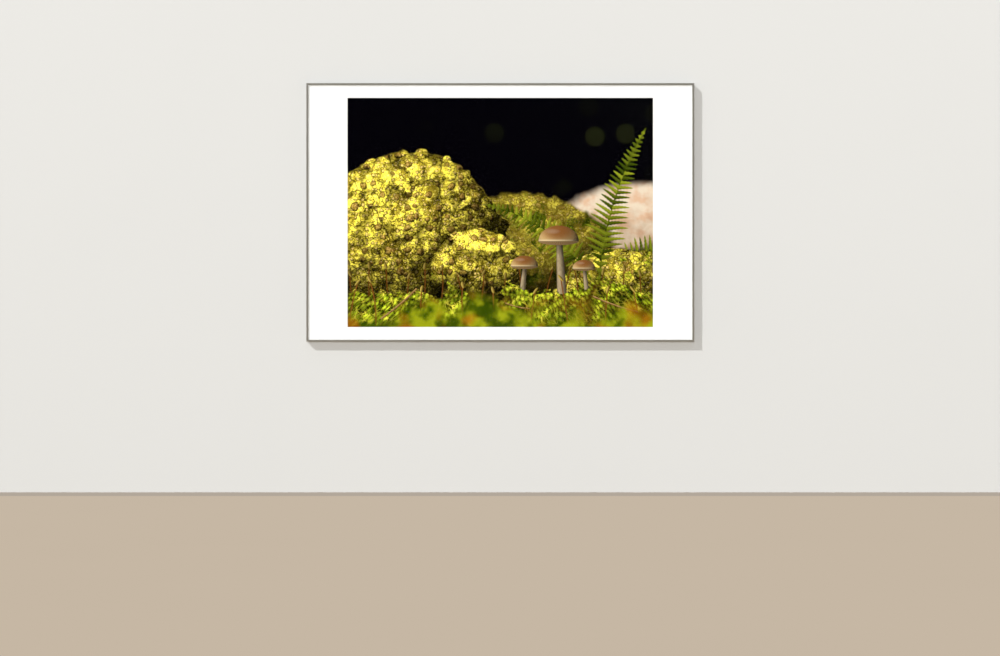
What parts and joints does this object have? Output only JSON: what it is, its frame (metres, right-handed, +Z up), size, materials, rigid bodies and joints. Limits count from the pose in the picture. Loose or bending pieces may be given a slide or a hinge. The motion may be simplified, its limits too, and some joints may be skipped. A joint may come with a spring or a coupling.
{
  "type": "framed wall print",
  "caption": "Landscape print of mossy stones in a wide white window mat, under clear acrylic in a slim aluminium frame that hangs on a wall by steel plates.",
  "frame": {"origin": "on the wall plane, midway between the two screws or hooks that carry the hanging plates, at the height of the edges that rest on them", "axes": "+X to the right of someone who looks at the picture, +Z up, and the picture faces -Y, so the wall is the plane y = 0 and lies behind it"},
  "size_m": [1.0154, 0.0255, 0.677],
  "materials": {
    "frame_rail": "satin",
    "glazing": "gloss",
    "window_mat": "matte",
    "print": "satin",
    "back_board": "matte",
    "hardware_steel": "satin",
    "spring_steel": "satin",
    "wall_pad": "matte"
  },
  "bodies": {
    "root": {"rail_top": "frame_rail", "rail_right": "frame_rail", "rail_bottom": "frame_rail", "rail_left": "frame_rail", "acrylic_glazing": "glazing", "window_mat": "window_mat", "print_sheet": "print", "back_board": "back_board", "corner_nut_bottom_left": "hardware_steel", "corner_nut_bottom_right": "hardware_steel", "corner_nut_top_left": "hardware_steel", "corner_nut_top_right": "hardware_steel", "corner_plate_bottom_left": "hardware_steel", "corner_plate_bottom_right": "hardware_steel", "corner_plate_top_left": "hardware_steel", "corner_plate_top_right": "hardware_steel", "set_screw_bottom_left_1": "hardware_steel", "set_screw_bottom_left_2": "hardware_steel", "set_screw_bottom_left_3": "hardware_steel", "set_screw_bottom_left_4": "hardware_steel", "set_screw_bottom_right_1": "hardware_steel", "set_screw_bottom_right_2": "hardware_steel", "set_screw_bottom_right_3": "hardware_steel", "set_screw_bottom_right_4": "hardware_steel", "set_screw_top_left_1": "hardware_steel", "set_screw_top_left_2": "hardware_steel", "set_screw_top_left_3": "hardware_steel", "set_screw_top_left_4": "hardware_steel", "set_screw_top_right_1": "hardware_steel", "set_screw_top_right_2": "hardware_steel", "set_screw_top_right_3": "hardware_steel", "set_screw_top_right_4": "hardware_steel", "hanging_plate_left": "hardware_steel", "hanging_plate_right": "hardware_steel", "nut_strip_left": "hardware_steel", "nut_strip_right": "hardware_steel", "plate_screw_left_1": "hardware_steel", "plate_screw_left_2": "hardware_steel", "plate_screw_right_1": "hardware_steel", "plate_screw_right_2": "hardware_steel", "spring_clip_bottom_1": "spring_steel", "spring_clip_bottom_2": "spring_steel", "spring_clip_bottom_3": "spring_steel", "spring_clip_right_1": "spring_steel", "spring_clip_right_2": "spring_steel", "spring_clip_top_1": "spring_steel", "spring_clip_top_2": "spring_steel", "spring_clip_top_3": "spring_steel", "spring_clip_left_1": "spring_steel", "spring_clip_left_2": "spring_steel", "wall_pad_bottom_left": "wall_pad", "wall_pad_bottom_right": "wall_pad", "wall_pad_top_left": "wall_pad", "wall_pad_top_right": "wall_pad"}
  },
  "joints": []
}
